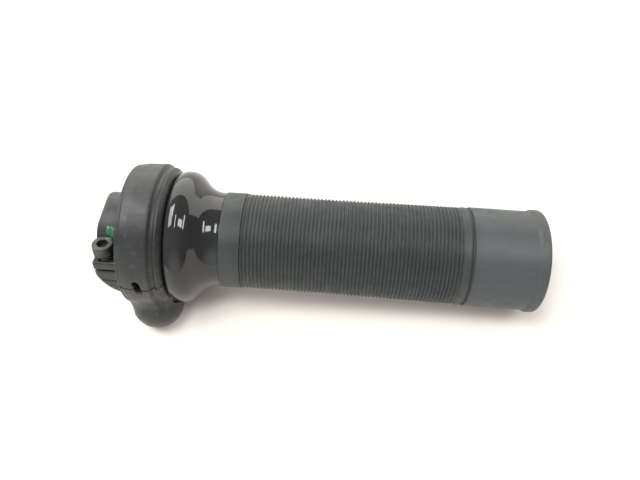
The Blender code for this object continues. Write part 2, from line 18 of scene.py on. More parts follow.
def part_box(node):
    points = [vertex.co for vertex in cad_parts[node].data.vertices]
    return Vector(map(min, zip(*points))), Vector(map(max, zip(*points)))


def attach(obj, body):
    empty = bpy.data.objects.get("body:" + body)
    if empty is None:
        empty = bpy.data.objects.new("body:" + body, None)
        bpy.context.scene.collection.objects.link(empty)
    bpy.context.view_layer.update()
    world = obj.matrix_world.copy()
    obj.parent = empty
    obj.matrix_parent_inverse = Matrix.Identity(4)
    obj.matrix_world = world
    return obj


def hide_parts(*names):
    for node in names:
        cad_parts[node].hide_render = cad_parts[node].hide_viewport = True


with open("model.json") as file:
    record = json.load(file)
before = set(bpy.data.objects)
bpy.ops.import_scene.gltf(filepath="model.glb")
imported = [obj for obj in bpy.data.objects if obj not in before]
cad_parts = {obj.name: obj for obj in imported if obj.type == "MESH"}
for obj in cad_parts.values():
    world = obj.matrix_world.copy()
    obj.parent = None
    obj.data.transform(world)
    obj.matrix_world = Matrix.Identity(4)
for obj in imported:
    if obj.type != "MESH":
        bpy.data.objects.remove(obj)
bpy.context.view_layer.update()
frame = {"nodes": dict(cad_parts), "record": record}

MM = 0.001

# Clearance between neighbouring pieces.
GAP = 0.3


def ends(node):
    """Where a node starts and ends along the bar, in millimetres."""
    low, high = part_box(node)
    return low.x / MM, high.x / MM


def radius_of(node):
    """The largest radius of a round node, in millimetres."""
    low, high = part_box(node)
    return max(high.y, high.z, -low.y, -low.z) / MM


# Stations and radii that the frame gives.
DRUM_START, SHELL_END = ends("cover_upper")
SHELL_RADIUS = radius_of("cover_upper")
DRUM_END = ends("sensor_housing")[1]
DRUM_RADIUS = radius_of("sensor_housing")
RING_END = ends("retainer_ring")[1]
TRIM_START, TRIM_END = ends("flare_trim")
TRIM_CREST = radius_of("flare_trim")
GRIP_END = ends("rubber_grip")[1]
FLANGE_RADIUS = radius_of("rubber_grip")
SLEEVE_BORE = radius_of("throttle_tube") + GAP

# The clamp neck and the drum behind the shells.
CLAMP_BORE = 11.05
CLAMP_ANGLE = math.radians(180 - 19)
NECK_RADIUS = 14.2
FLOOR_END = 11.4
FLOOR_BORE = 8.0
HUB_END = 15.3
HUB_BORE = 14.7
HUB_RADIUS = 16.0
DRUM_BORE = 19.9
RING_BOSS_ANGLES = (30, 150, 270)
RING_BOSS_OUT = 18.6
RING_BOSS_RADIUS = 1.9
RING_BOSS_BORE = 1.1
RING_BOSS_START = 17.6

# The sloping facet at the neck's inboard end, as a plane.
FACET_ANGLE = math.radians(82)
FACET_TILT = (-0.78, 0.62)
FACET_DISTANCE = 7.75

# The block of both ears, which the slit divides.
EAR_ROOT = 7.0
EAR_OUT = 19.5
EAR_TOP = 3.7
EAR_BOTTOM = -12.6
EAR_END = 8.4
SLIT_HALF = 0.45
SLIT_ROOT = 9
SLIT_OUT = 30
SLIT_END = 9.0

# The lower ear's rounding towards the neck's inboard end, and its fine groove.
BOSS_SLOPE = math.radians(47)
BOSS_X = 9.3
BOSS_REACH = 10.7
BOSS_RADIUS = 10.2
GROOVE_DOWN = 4.4
GROOVE_START = 2.2
GROOVE_DEPTH = 0.3
GROOVE_HALF = 0.2

# The clamp screw, which stands across the slit.
SCREW_OUT = 15.6
SCREW_X = 3.5
SCREW_SEAT = EAR_TOP + 0.8 + 2 * GAP
SCREW_TOP = SCREW_SEAT + 4.0
SCREW_END = -8.1
SCREW_WAY_END = -9.4
SCREW_WAY_RADIUS = 2.3
INSERT_POCKET_RADIUS = 3.0
SPOT_FACE_RADIUS = 3.8
HEAD_RADIUS = 3.45
KNURL_COUNT = 30
KNURL_DEPTH = 0.07
KNURL_MIDDLE = 1.7
KNURL_HALF = 1.3
SOCKET_HALF = 1.62
SOCKET_DEPTH = 2.2
SOCKET_TURN = 15
SHANK_OVERLAP = 0.5
THREAD_RADIUS = 1.82
THREAD_DEPTH = 0.14
THREAD_PITCH = 0.7
WASHER_BORE = 2.25
WASHER_RADIUS = 3.45
WASHER_CUT = math.radians(100)
WASHER_RISE = 0.35

# The shells, the window they snap in, and the hood.
SHELL_BORE = 21.7
SHELL_LIP_BORE = 20.2
SHELL_PARTING = math.radians(180 - 14)
BAND_EDGE = 19.7
RIDGE = 22.0
WINDOW_FROM = (15.6, -2.5)
WINDOW_TO = (16.2, 0.9)
WINDOW_HALF = 1.15
HOOD_ANGLE = math.radians(180 + 40)
HOOD_ROOT = (16.2, 12.0)
HOOD_X = 17.1
HOOD_OUT = 25.4
HOOD_RADIUS = 9.05
HOOD_SPREAD = 1.2
HOOD_BORE = 7.4
HOOD_FILLET = 3.0
GLAND_OUT = 26.8
GLAND_RADIUS = 4.2
GLAND_BORE = 3.1

# The rubber grip's stations and radii, from the collar to the open end.
COLLAR_END = 48.2
RIBS_END = 122.0
RIDGE_END = 124.9
BAND_START = 125.5
BAND_END = 146.7
COLLAR_RADIUS = 16.75
RIBS_START_RADIUS = 16.6
RIBS_END_RADIUS = 17.1
BAND_RADIUS = 17.4
RIB_COUNT = 58
RIB_DEPTH = 0.55
RIDGE_HEIGHT = 0.55
MOUTH_RADIUS = 12.2
RECESS_RADIUS = 11.6

# Where the dabs of inspection paint lie.
NECK_DAB_ANGLE = math.radians(180 - 62)
NECK_DAB_X = 5.0
HEAD_DAB_OFFSET = (1.4, -2.3)

# Edge roundings of the moulded pieces.
TIGHT = 0.15
CRISP = 0.2
FINE = 0.3
EASED = 0.35
MILD = 0.4
SOFT = 0.5
FULL = 0.6
BROAD = 0.7
NECK_ROUNDING = 0.8
EAR_ROUNDING = 0.9
EAR_FILLET = 1.2
BOSS_ROUNDING = 1.4

# The size of the cells that the moulded pieces are meshed with.
SHELL_CELL = 0.28
GLAND_CELL = 0.2
SCREW_CELL = 0.13
WASHER_CELL = 0.12

# The camera, in millimetres; the target is along the bar and up from it.
SENSOR_WIDTH = 36
LENS = 33.75
CAMERA_DISTANCE = 213.0
CAMERA_ELEVATION = math.radians(62)
CAMERA_ROLL = math.radians(4.06)
CAMERA_SWING = math.radians(0.8)
CAMERA_TARGET = (74.5, 2.12)


# ---------------------------------------------------------------- geometry

def around(angle, out, x=0.0, side=0.0):
    """The point at a distance out from the bar's axis, and side across it."""
    y = out * math.cos(angle) - side * math.sin(angle)
    z = out * math.sin(angle) + side * math.cos(angle)
    return Vector((x, y, z))


def arc(centre_x, centre_r, radius, start, end, steps):
    """Points of an arc in the plane of a turned outline, angles in degrees."""
    points = []
    for i in range(steps + 1):
        a = math.radians(start + (end - start) * i / steps)
        points.append((centre_x + radius * math.cos(a), centre_r + radius * math.sin(a)))
    return points


def new_object(name, points, faces, material, sharp=None):
    """A smooth-shaded mesh object from points in millimetres."""
    mesh = bpy.data.meshes.new(name)
    mesh.from_pydata([tuple(p) for p in np.asarray(points) * MM], [], faces)
    mesh.update()
    mesh.shade_smooth()
    if sharp:
        mesh.set_sharp_from_angle(angle=math.radians(sharp))
    mesh.materials.append(material)
    obj = bpy.data.objects.new(name, mesh)
    bpy.context.scene.collection.objects.link(obj)
    return obj


def turned(name, outline, material, sides, sharp):
    """Spin a closed outline of (x, r) points round the bar's axis."""
    outline = np.array(outline)
    count = len(outline)
    angles = np.arange(sides) * math.tau / sides
    x = np.tile(outline[:, 0], sides)
    r = np.tile(outline[:, 1], sides)
    a = np.repeat(angles, count)
    points = np.stack([x, r * np.cos(a), r * np.sin(a)], 1)
    faces = []
    for i in range(sides):
        near = i * count
        far = (i + 1) % sides * count
        for j in range(count):
            k = (j + 1) % count
            faces.append((near + k, near + j, far + j, far + k))
    obj = new_object(name, points, faces, material, sharp)
    bm = bmesh.new()
    bm.from_mesh(obj.data)
    bmesh.ops.recalc_face_normals(bm, faces=bm.faces)
    bm.to_mesh(obj.data)
    bm.free()
    return obj


def soft_max(a, b, k):
    """The larger of two fields, with the edge between them rounded by k."""
    blend = np.clip(0.5 + 0.5 * (a - b) / k, 0, 1)
    return b + (a - b) * blend + k * blend * (1 - blend)


def soft_min(a, b, k):
    """The smaller of two fields, with a fillet of about k where they join."""
    return -soft_max(-a, -b, k)


def within(value, low, high, k):
    """A field that is negative between two values, with rounded limits."""
    return soft_max(low - value, value - high, k)


def section(x, r, x0, x1, r0, r1, k):
    """A ring of rectangular section, with rounded edges."""
    return soft_max(within(x, x0, x1, k), within(r, r0, r1, k), k)


def locate(y, z, angle):
    """Distances out and across from the bar's axis, along one direction."""
    out = y * math.cos(angle) + z * math.sin(angle)
    side = -y * math.sin(angle) + z * math.cos(angle)
    return out, side


def from_segment(u, v, start, end):
    """Offsets from a segment's nearest point, and that point's share of the way."""
    run_u = end[0] - start[0]
    run_v = end[1] - start[1]
    t = ((u - start[0]) * run_u + (v - start[1]) * run_v) / (run_u**2 + run_v**2)
    t = np.clip(t, 0, 1)
    return u - start[0] - t * run_u, v - start[1] - t * run_v, t


CORNERS = [(i, j, k) for i in (0, 1) for j in (0, 1) for k in (0, 1)]
CELL_EDGES = [
    (a, b) for a in range(8) for b in range(a + 1, 8) if bin(a ^ b).count("1") == 1
]


def settle(points, field, step):
    """Move points onto the field's zero surface, by its slope there."""
    rounds = 4
    h = 0.02
    least_slope = 0.05
    for _ in range(rounds):
        value = field(*points.T)
        slope = np.empty_like(points)
        for axis in range(3):
            shift = np.zeros(3)
            shift[axis] = h
            ahead = field(*(points + shift).T)
            behind = field(*(points - shift).T)
            slope[:, axis] = (ahead - behind) / (2 * h)
        size = np.maximum((slope**2).sum(1), least_slope)
        move = np.clip(value / size, -step, step)
        points = points - slope * move[:, None]
    return points


def moulded(name, field, low, high, step, material):
    """Mesh the surface where a distance field is zero, as a net of quads."""
    low = np.array(low, float)
    spans = [np.arange(a, b + step, step) for a, b in zip(low, high)]
    values = field(*np.meshgrid(*spans, indexing="ij"))
    inside = values < 0
    shape = np.array(values.shape) - 1
    count = np.zeros(shape, int)
    for i, j, k in CORNERS:
        count += inside[i:i + shape[0], j:j + shape[1], k:k + shape[2]]
    mixed = (count > 0) & (count < 8)
    cells = np.argwhere(mixed)
    index = np.full(shape, -1)
    index[mixed] = np.arange(len(cells))

    corner_values = np.stack([values[tuple((cells + o).T)] for o in CORNERS], 1)
    total = np.zeros((len(cells), 3))
    crossings = np.zeros(len(cells))
    for a, b in CELL_EDGES:
        va = corner_values[:, a]
        vb = corner_values[:, b]
        crossed = (va < 0) != (vb < 0)
        t = np.where(crossed, va / np.where(crossed, va - vb, 1), 0)
        run = np.array(CORNERS[b]) - np.array(CORNERS[a])
        total += (np.array(CORNERS[a]) + t[:, None] * run) * crossed[:, None]
        crossings += crossed
    points = low + (cells + total / crossings[:, None]) * step
    points = settle(points, field, step)

    faces = []
    for axis in range(3):
        b = (axis + 1) % 3
        c = (axis + 2) % 3
        size = inside.shape[axis]
        near = np.take(inside, range(size - 1), axis)
        change = near != np.take(inside, range(1, size), axis)
        edges = np.argwhere(change)
        fits_b = (edges[:, b] > 0) & (edges[:, b] < shape[b])
        fits_c = (edges[:, c] > 0) & (edges[:, c] < shape[c])
        edges = edges[fits_b & fits_c]
        ring = []
        for db, dc in ((-1, -1), (0, -1), (0, 0), (-1, 0)):
            cell = edges.copy()
            cell[:, b] += db
            cell[:, c] += dc
            ring.append(index[tuple(cell.T)])
        quads = np.stack(ring, 1)
        leaves = near[tuple(edges.T)]
        quads[~leaves] = quads[~leaves][:, ::-1]
        faces += quads.tolist()
    return new_object(name, points, faces, material)


# ---------------------------------------------------------------- materials

# Sizes are in millimetres.
SCUFF_COLOUR = (0.17, 0.165, 0.16, 1)
# A paler grey that the colour is mixed towards beyond pale_from, so the open end is
# lighter.
PALE_END_COLOUR = (0.062, 0.064, 0.068, 1)
PALE_END_SHARE = 0.26
PALE_END_FADE = 2.0
PATCH_SIZE = 9.0
GLOSS_PATCH_SIZE = 3.0
GLOSS_SPREAD = 0.08
LEAST_ROUGHNESS = 0.02
SCUFF_SIZE = 1.6
GRAIN_STRENGTH = 0.6


def add_ramp(tree, source, low, high, start, end):
    """A value that runs from low to high while the source runs from start to end."""
    node = tree.nodes.new("ShaderNodeMapRange")
    node.inputs["From Min"].default_value = start
    node.inputs["From Max"].default_value = end
    node.inputs["To Min"].default_value = low
    node.inputs["To Max"].default_value = high
    tree.links.new(source, node.inputs["Value"])
    return node.outputs["Result"]


def look(
    name, colour, roughness, metallic=0.0, grain=(0.25, 0.1), mottle=0.15, scuff=0.0,
    pale_from=None,
):
    """A Principled material with mottled colour, uneven gloss and a fine grain.

    grain is the size of the surface's grain in millimetres and its height as a
    share of that; scuff is how much lighter the worn patches and rubs are. Beyond the
    station pale_from, in millimetres, the surface is paler.
    """
    made = bpy.data.materials.new(name)
    made.use_nodes = True
    tree = made.node_tree
    shader = tree.nodes["Principled BSDF"]
    shader.inputs["Metallic"].default_value = metallic
    coords = tree.nodes.new("ShaderNodeTexCoord")

    def noise(size, detail=3.0):
        node = tree.nodes.new("ShaderNodeTexNoise")
        node.inputs["Scale"].default_value = 1 / (size * MM)
        node.inputs["Detail"].default_value = detail
        tree.links.new(coords.outputs["Object"], node.inputs["Vector"])
        return node.outputs["Fac"]

    def mix(factor, one, two):
        node = tree.nodes.new("ShaderNodeMix")
        node.data_type = "RGBA"
        for socket, value in ((0, factor), (6, one), (7, two)):
            if isinstance(value, bpy.types.NodeSocket):
                tree.links.new(value, node.inputs[socket])
            else:
                node.inputs[socket].default_value = value
        return node.outputs[2]

    darker = tuple(c * (1 - mottle) for c in colour) + (1,)
    lighter = tuple(c * (1 + mottle) for c in colour) + (1,)
    patches = add_ramp(tree, noise(PATCH_SIZE), 0, 1, 0.35, 0.65)
    shade = mix(patches, darker, lighter)
    if scuff:
        rubs = add_ramp(tree, noise(SCUFF_SIZE, 6.0), 0, scuff, 0.56, 0.78)
        shade = mix(rubs, shade, SCUFF_COLOUR)
    # Beyond pale_from the colour is mixed towards a paler grey, so the open end is lighter.
    if pale_from:
        split = tree.nodes.new("ShaderNodeSeparateXYZ")
        tree.links.new(coords.outputs["Object"], split.inputs[0])
        start = (pale_from - PALE_END_FADE) * MM
        end = (pale_from + PALE_END_FADE) * MM
        paler_end = add_ramp(tree, split.outputs["X"], 0, PALE_END_SHARE, start, end)
        shade = mix(paler_end, shade, PALE_END_COLOUR)
    tree.links.new(shade, shader.inputs["Base Color"])

    glossiest = max(roughness - GLOSS_SPREAD, LEAST_ROUGHNESS)
    dullest = min(roughness + GLOSS_SPREAD, 1)
    uneven = add_ramp(tree, noise(GLOSS_PATCH_SIZE, 5.0), glossiest, dullest, 0.3, 0.7)
    tree.links.new(uneven, shader.inputs["Roughness"])

    size, height = grain
    bump = tree.nodes.new("ShaderNodeBump")
    bump.inputs["Strength"].default_value = GRAIN_STRENGTH
    bump.inputs["Distance"].default_value = size * height * MM
    tree.links.new(noise(size, 2.0), bump.inputs["Height"])
    tree.links.new(bump.outputs["Normal"], shader.inputs["Normal"])
    return made


LOOK_ROWS = {
    "moulded_black": dict(
        colour=(0.0118, 0.0128, 0.0123), roughness=0.42, grain=(0.22, 0.16), scuff=0.10
    ),
    "gloss_black": dict(
        colour=(0.0105, 0.0108, 0.0103), roughness=0.05, grain=(6.0, 0.002), mottle=0.1
    ),
    "soft_rubber": dict(
        colour=(0.0155, 0.0185, 0.0182), roughness=0.52, grain=(0.18, 0.06),
        mottle=0.08, scuff=0.05, pale_from=BAND_START,
    ),
    "tube_nylon": dict(colour=(0.045, 0.045, 0.047), roughness=0.45, scuff=0.1),
    "black_steel": dict(
        colour=(0.048, 0.047, 0.046), roughness=0.40, metallic=0.8, grain=(0.12, 0.15),
        mottle=0.35, scuff=0.22,
    ),
    "plated_steel": dict(
        colour=(0.50, 0.49, 0.46), roughness=0.30, metallic=1.0, grain=(0.15, 0.06)
    ),
    "brass": dict(
        colour=(0.72, 0.53, 0.25), roughness=0.30, metallic=1.0, grain=(0.15, 0.06)
    ),
    "white_acetal": dict(colour=(0.75, 0.74, 0.70), roughness=0.40, mottle=0.04),
    "magnet_plating": dict(
        colour=(0.45, 0.45, 0.46), roughness=0.28, metallic=1.0, grain=(0.1, 0.05)
    ),
    "board_green": dict(colour=(0.02, 0.15, 0.06), roughness=0.35, grain=(0.4, 0.05)),
    "chip_black": dict(colour=(0.02, 0.02, 0.02), roughness=0.5),
    "paint_green": dict(
        colour=(0.018, 0.085, 0.042), roughness=0.14, grain=(0.9, 0.14), mottle=0.4
    ),
}
LOOKS = {name: look(name, **row) for name, row in LOOK_ROWS.items()}


# ---------------------------------------------------------------- pieces

def shell_profile():
    """Outer radius of the round shells along the bar, as sampled points."""
    top = SHELL_RADIUS
    bead = top - 1.15
    return np.array([
        (DRUM_START - 1, top - 1.1),
        (DRUM_START + 0.6, top - 0.85),
        (DRUM_START + 1.0, top - 0.95),
        (DRUM_START + 1.5, top - 0.65),
        (DRUM_START + 4.0, top - 0.25),
        (BAND_EDGE - 1.2, top),
        (BAND_EDGE - 0.3, top + 0.05),
        (BAND_EDGE + 0.1, top - 0.15),
        (BAND_EDGE + 0.5, top - 0.95),
        (BAND_EDGE + 0.9, bead - 0.3),
        (RIDGE - 0.6, bead - 0.55),
        (RIDGE - 0.1, bead),
        (RIDGE + 0.4, bead - 0.02),
        (RIDGE + 0.9, bead - 0.7),
        (RIDGE + 1.3, bead - 1.2),
        (SHELL_END, bead - 2.3),
        (SHELL_END + 1, bead - 3.4),
    ])


PROFILE = shell_profile()


def shell_bore(x):
    """Inner radius of the shells, smaller at their lip."""
    return np.where(x < RING_END + GAP, SHELL_BORE, SHELL_LIP_BORE)


def round_shell(x, y, z):
    """Both shells as one ring, with the band, the groove and the bead outside."""
    steepness = 0.85
    r = np.hypot(y, z)
    outside = (r - np.interp(x, PROFILE[:, 0], PROFILE[:, 1])) * steepness
    body = soft_max(outside, shell_bore(x) - r, EASED)
    return soft_max(body, within(x, DRUM_START, SHELL_END, SOFT), SOFT)


def snap_window(x, y, z):
    """A round-ended slot across the parting line, on the near side."""
    out, side = locate(y, z, SHELL_PARTING)
    off_x, off_side, _ = from_segment(x, side, WINDOW_FROM, WINDOW_TO)
    return np.maximum(np.hypot(off_x, off_side) - WINDOW_HALF, -out)


def upper_shell(x, y, z):
    """The shell above the parting, with its part of the window."""
    side = locate(y, z, SHELL_PARTING)[1]
    body = soft_max(round_shell(x, y, z), side + GAP / 2, EASED)
    return soft_max(body, -snap_window(x, y, z), MILD)


def hood(x, y, z):
    """The cable hood: a blunt dome on a neck that widens towards the shell."""
    out, side = locate(y, z, HOOD_ANGLE)
    off_x, off_out, t = from_segment(x, out, HOOD_ROOT, (HOOD_X, HOOD_OUT))
    radius = HOOD_RADIUS + HOOD_SPREAD * (1 - t)
    return np.sqrt(off_x**2 + off_out**2 + side**2) - radius


def lower_shell(x, y, z):
    """The shell below the parting, with the hollow hood and its mouth."""
    side = locate(y, z, SHELL_PARTING)[1]
    r = np.hypot(y, z)
    body = soft_max(hood(x, y, z), SHELL_BORE - r, MILD)
    body = soft_min(round_shell(x, y, z), body, HOOD_FILLET)
    out, across = locate(y, z, HOOD_ANGLE)
    hollow = np.sqrt((x - HOOD_X) ** 2 + (out - HOOD_OUT) ** 2 + across**2) - HOOD_BORE
    body = soft_max(body, -hollow, MILD)
    body = soft_max(body, shell_bore(x) - r, FINE)
    trim_clearance = 0.4
    trim_space = np.maximum(r - TRIM_CREST - trim_clearance, SHELL_END + 0.1 - x)
    body = soft_max(body, -trim_space, FINE)
    from_mouth = np.hypot(out - GLAND_OUT, across)
    mouth = np.maximum(from_mouth - GLAND_RADIUS - GAP, x - HOOD_X)
    body = soft_max(body, -mouth, SOFT)
    body = soft_max(body, GAP / 2 - side, EASED)
    return soft_max(body, -snap_window(x, y, z), MILD)


def clamp_ears(x, out, side):
    """Both ears in one block; the lower one is a boss rounded towards the neck."""
    up = -side
    across = within(out, EAR_ROOT, EAR_OUT, EAR_ROUNDING)
    height = within(up, EAR_BOTTOM, EAR_TOP, EAR_ROUNDING)
    block = soft_max(across, height, EAR_ROUNDING)
    reach = out * math.cos(BOSS_SLOPE) + side * math.sin(BOSS_SLOPE)
    boss = np.hypot(np.minimum(x - BOSS_X, 0), np.maximum(reach - BOSS_REACH, 0))
    block = soft_max(block, boss - BOSS_RADIUS, BOSS_ROUNDING)
    groove = np.maximum(EAR_OUT - GROOVE_DEPTH - out, GROOVE_START - x)
    groove = np.maximum(np.abs(up + GROOVE_DOWN) - GROOVE_HALF, groove)
    block = soft_max(block, -groove, TIGHT)
    return soft_max(block, within(x, 0.0, EAR_END, FULL), BROAD)


def drum(x, y, z):
    """The drum's floor, its wall, and the hub inside."""
    r = np.hypot(y, z)
    start = DRUM_START + 0.1
    floor = section(x, r, start, FLOOR_END, FLOOR_BORE, DRUM_RADIUS, SOFT)
    wall = section(x, r, start, DRUM_END, DRUM_BORE, DRUM_RADIUS, MILD)
    hub = section(x, r, FLOOR_END - 1, HUB_END, HUB_BORE, HUB_RADIUS, FINE)
    return np.minimum(np.minimum(floor, wall), hub)


def ring_boss(x, y, z, angle):
    """A small bored boss that a screw of the retainer ring goes into."""
    out, side = locate(y, z, angle)
    reach = np.hypot(out - RING_BOSS_OUT, side)
    tube = soft_max(reach - RING_BOSS_RADIUS, RING_BOSS_BORE - reach, CRISP)
    return soft_max(tube, within(x, RING_BOSS_START, DRUM_END, CRISP), CRISP)


def housing(x, y, z):
    """Clamp neck with its ears, and the drum that the shells cover."""
    r = np.hypot(y, z)
    out, side = locate(y, z, CLAMP_ANGLE)
    up = -side
    neck = section(x, r, 0, FLOOR_END, CLAMP_BORE - 2, NECK_RADIUS, NECK_ROUNDING)
    facet_out = locate(y, z, FACET_ANGLE)[0]
    facet = facet_out * FACET_TILT[1] + x * FACET_TILT[0] - FACET_DISTANCE
    neck = soft_max(neck, facet, BROAD)
    body = soft_min(neck, clamp_ears(x, out, side), EAR_FILLET)
    body = soft_min(body, drum(x, y, z), SOFT)
    for angle in RING_BOSS_ANGLES:
        body = np.minimum(body, ring_boss(x, y, z, math.radians(angle)))
    body = soft_max(body, CLAMP_BORE - r, MILD)

    slit = within(side, -SLIT_HALF, SLIT_HALF, CRISP)
    slit = soft_max(slit, within(out, SLIT_ROOT, SLIT_OUT, CRISP), CRISP)
    slit = soft_max(slit, x - SLIT_END, FINE)
    body = soft_max(body, -slit, SOFT)

    from_screw = np.hypot(x - SCREW_X, out - SCREW_OUT)
    spot_face = soft_max(from_screw - SPOT_FACE_RADIUS, EAR_TOP + 0.05 - up, CRISP)
    screw_way = np.maximum(from_screw - SCREW_WAY_RADIUS, SCREW_WAY_END - up)
    body = soft_max(body, -np.minimum(spot_face, screw_way), FINE)
    pocket = np.maximum(from_screw - INSERT_POCKET_RADIUS, np.maximum(up, SCREW_END - up))
    return soft_max(body, -pocket, EASED)


def screw_frame(x, y, z):
    """Distance from the clamp screw's axis, its angle, and height up it."""
    out, side = locate(y, z, CLAMP_ANGLE)
    off_x = x - SCREW_X
    off_out = out - SCREW_OUT
    return np.hypot(off_x, off_out), np.arctan2(off_out, off_x), -side


def cap_screw(x, y, z):
    """Knurled socket head with a chamfer, over a threaded shank."""
    r, a, up = screw_frame(x, y, z)
    knurled = np.abs(up - SCREW_SEAT - KNURL_MIDDLE) < KNURL_HALF
    knurl = KNURL_DEPTH * np.cos(KNURL_COUNT * a) * knurled
    head = within(up, SCREW_SEAT, SCREW_TOP, FINE)
    head = soft_max(r - HEAD_RADIUS - knurl, head, SOFT)
    sides = [r * np.cos(a - math.radians(60 * i + SOCKET_TURN)) for i in range(6)]
    flats = np.max(sides, axis=0)
    socket = np.maximum(flats - SOCKET_HALF, SCREW_TOP - SOCKET_DEPTH - up)
    head = soft_max(head, -socket, EASED)
    thread = THREAD_RADIUS + THREAD_DEPTH * np.cos(math.tau * up / THREAD_PITCH - a)
    length = within(up, SCREW_END, SCREW_SEAT + SHANK_OVERLAP, FINE)
    shank = soft_max(r - thread, length, FINE)
    return np.minimum(head, shank)


def lock_washer(x, y, z):
    """One helical turn of square wire, with its cut ends apart."""
    r, a, up = screw_frame(x, y, z)
    half_wire = 0.3
    half_cut = 0.02
    cut_steepness = 12
    turn = (a - WASHER_CUT) % math.tau / math.tau
    middle = EAR_TOP + GAP + half_wire + WASHER_RISE * turn
    wire = within(r, WASHER_BORE, WASHER_RADIUS, TIGHT)
    ring = soft_max(wire, np.abs(up - middle) - half_wire, TIGHT)
    cut = (half_cut - np.minimum(turn, 1 - turn)) * cut_steepness
    return soft_max(ring, cut, 0.1)


def cable_gland(x, y, z):
    """Rubber gland: a sleeve with rounded ends and grip rings inside."""
    out, across = locate(y, z, HOOD_ANGLE)
    r = np.hypot(out - GLAND_OUT, across)
    start, end = ends("cable_gland")
    wall = within(r, GLAND_BORE, GLAND_RADIUS, SOFT)
    sleeve = soft_max(wall, within(x, start, end, SOFT), FULL)
    ring_height = 0.12
    ring_pitch = 1.3
    rings = ring_height * np.cos((x - start) * math.tau / ring_pitch)
    return sleeve + rings * (r < GLAND_BORE + 0.3)


def make_flare_trim():
    """Tight lip, full round crest and a long sweep down to the neck."""
    wall = 1.2
    lip = 0.6
    lip_foot = TRIM_CREST - 2.4
    lip_angle = 120
    crest = 6.0
    crest_x = TRIM_START + lip + (crest - lip) * math.cos(math.radians(180 - lip_angle))
    crest_r = TRIM_CREST - crest
    lip_r = crest_r + (crest - lip) * math.sin(math.radians(lip_angle))
    slope_angle = 42
    fillet = 8.0
    fillet_x = TRIM_START + 15.5
    neck = TRIM_CREST - 6.7
    edge = 0.2
    outline = [(TRIM_START, lip_foot)]
    outline += arc(TRIM_START + lip, lip_r, lip, 180, lip_angle, 10)
    outline += arc(crest_x, crest_r, crest, lip_angle, slope_angle, 36)[1:]
    outline += arc(fillet_x, neck + fillet, fillet, 180 + slope_angle, 270, 24)
    outline += arc(TRIM_END - edge, neck - edge, edge, 90, 0, 4)
    outline += [(TRIM_END, SLEEVE_BORE), (fillet_x - 3 * wall, SLEEVE_BORE)]
    outline += arc(crest_x, crest_r, crest - wall, slope_angle, 110, 12)
    outline += [(TRIM_START + wall, lip_foot)]
    return turned("flare_trim_gloss", outline, LOOKS["gloss_black"], 192, 50)


# One rib: the share of its pitch and of its height at each point.
RIB_SHAPE = (
    (0.0, 0.0),
    (0.10, 0.55),
    (0.20, 0.92),
    (0.32, 1.0),
    (0.44, 0.92),
    (0.58, 0.5),
    (0.74, 0.08),
    (0.88, 0.0),
)


def rib_points():
    """The ribbed length: narrow ribs with steep faces, growing outboard."""
    pitch = (RIBS_END - COLLAR_END) / RIB_COUNT
    points = []
    for i in range(RIB_COUNT):
        for part, height in RIB_SHAPE:
            done = (i + part) / RIB_COUNT
            crest = RIBS_START_RADIUS + (RIBS_END_RADIUS - RIBS_START_RADIUS) * done
            radius = crest - RIB_DEPTH * (1 - height)
            points.append((COLLAR_END + (i + part) * pitch, radius))
    return points


def ridge_points():
    """The smooth ridge after the last rib, and the groove before the band."""
    edge = 0.1
    foot = RIBS_END_RADIUS - 0.4
    bottom = RIBS_END_RADIUS - 0.5
    middle = (RIBS_END + RIDGE_END) / 2
    half = (RIDGE_END - RIBS_END) / 2 - edge
    fullness = 0.7
    half_steps = 4
    points = []
    for i in range(2 * half_steps + 1):
        t = -1 + i / half_steps
        swell = RIDGE_HEIGHT * math.sqrt(max(1 - t * t, 0)) ** fullness
        points.append((middle + half * t, foot + swell))
    return points + [(RIDGE_END + edge, bottom), (BAND_START - edge, bottom)]


def make_rubber_grip():
    """Collar, fine ribs, a smooth ridge, the plain band and a rounded flange."""
    start = TRIM_END + 0.03
    recess = GRIP_END - 0.8
    edge = 0.2
    band_edge = 0.35
    hollow = 0.4
    shoulder = 0.6
    flange_edge = 1.3
    outline = [(start, SLEEVE_BORE), (start, COLLAR_RADIUS - 0.25)]
    outline += arc(start + edge, COLLAR_RADIUS - edge, edge, 170, 90, 5)
    outline += [(COLLAR_END - 0.35, COLLAR_RADIUS), (COLLAR_END - 0.1, COLLAR_RADIUS - 0.1)]
    outline += rib_points()
    outline += ridge_points()
    outline += arc(BAND_START + band_edge, BAND_RADIUS - band_edge, band_edge, 180, 90, 4)
    outline += arc(BAND_END - 0.5, BAND_RADIUS + hollow, hollow, 270, 330, 4)
    outline += arc(BAND_END + 0.75, FLANGE_RADIUS - shoulder, shoulder, 150, 90, 5)
    flange_x = GRIP_END - flange_edge
    outline += arc(flange_x, FLANGE_RADIUS - flange_edge, flange_edge, 90, 0, 9)
    outline += arc(GRIP_END - band_edge, MOUTH_RADIUS, band_edge, 0, -90, 4)
    outline += [(recess, RECESS_RADIUS), (recess, SLEEVE_BORE)]
    return turned("rubber_sleeve", outline, LOOKS["soft_rubber"], 160, 60)


def make_paint_dab(name, size, seed, place):
    """A dab of inspection paint: a low blob with an uneven edge.

    place turns a distance along and across the dab, and a height, into a point.
    """
    rings = 7
    sides = 40
    thickness = 0.32
    sunk = 0.05
    points = []
    for i in range(rings + 1):
        for j in range(sides):
            a = math.tau * j / sides
            edge = 1 + 0.16 * math.sin(2 * a + seed) + 0.10 * math.sin(5 * a + 2 * seed)
            reach = i / rings * edge
            height = thickness * math.sqrt(max(1 - (i / rings) ** 2, 0)) - sunk
            along = size[0] * reach * math.cos(a)
            across = size[1] * reach * math.sin(a)
            points.append(place(along, across, height))
    faces = []
    for i in range(rings):
        for j in range(sides):
            k = (j + 1) % sides
            near = i * sides
            far = near + sides
            faces.append((near + j, far + j, far + k, near + k))
    return new_object(name, points, faces, LOOKS["paint_green"])


